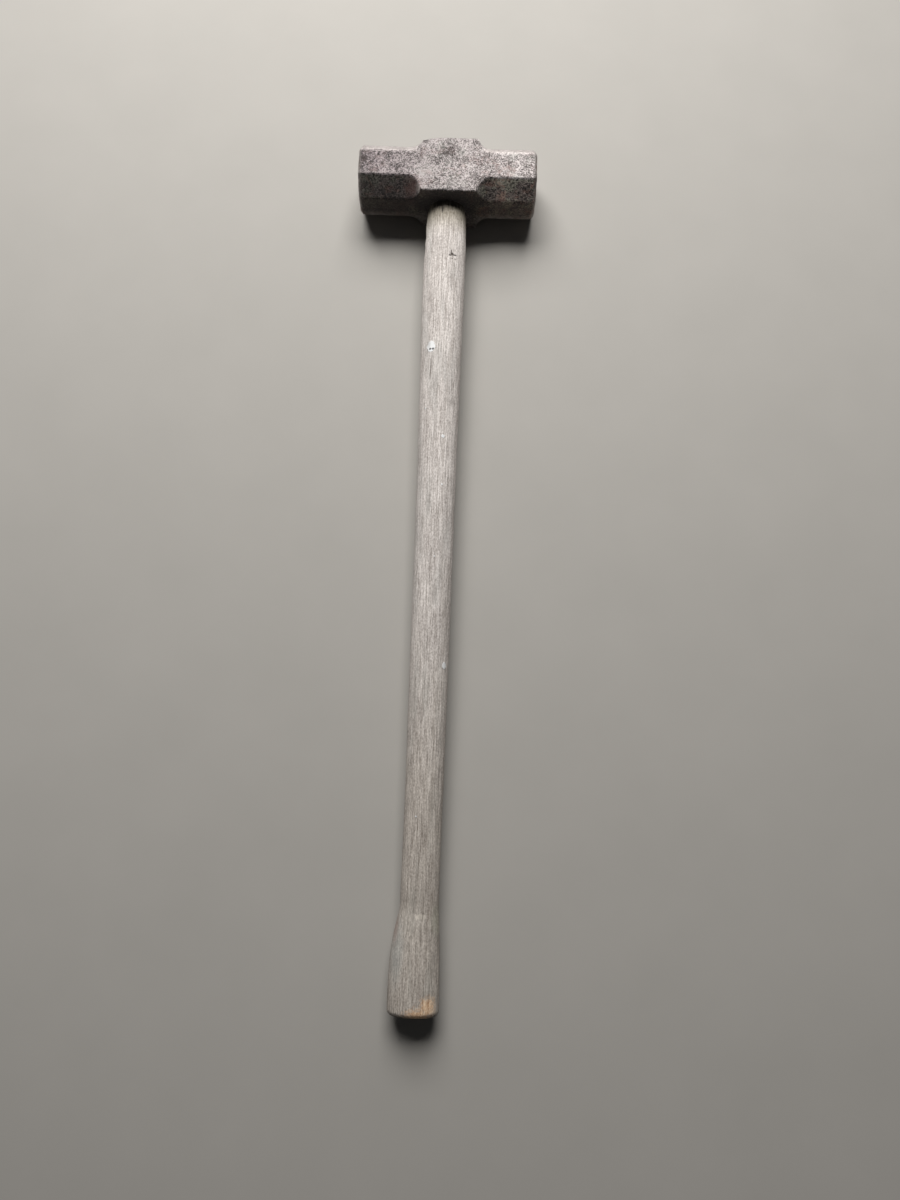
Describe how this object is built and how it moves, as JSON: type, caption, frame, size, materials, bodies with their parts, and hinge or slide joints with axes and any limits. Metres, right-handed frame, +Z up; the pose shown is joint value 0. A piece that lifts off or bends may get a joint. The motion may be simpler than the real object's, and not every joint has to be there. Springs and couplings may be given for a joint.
{
  "type": "sledgehammer",
  "caption": "Long-handled double-faced sledgehammer with an octagonal-ended steel head wedged on an ash handle, for driving fence posts.",
  "frame": {"origin": "on the head's lower cheek, under the centre of the eye; the hammer lies on its side", "axes": "+X along the striking direction; the handle runs along -Y and the head's crown faces +Y; +Z up, from the lower cheek to the upper cheek"},
  "size_m": [0.1954, 0.9, 0.065],
  "materials": {
    "head_steel": "forged carbon steel, brown oxide, worn and pitted, faintly shiny on the handled flats",
    "handle_wood": "bare ash, weathered grey-tan, open lengthwise grain, no varnish",
    "wedge_wood": "bare hardwood, dark end grain",
    "wedge_steel": "mild steel, hammered top, light rust"
  },
  "bodies": {
    "root": {"head": "head_steel", "handle": "handle_wood", "wooden_wedge": "wedge_wood", "steel_wedge_left": "wedge_steel", "steel_wedge_right": "wedge_steel"}
  },
  "joints": []
}
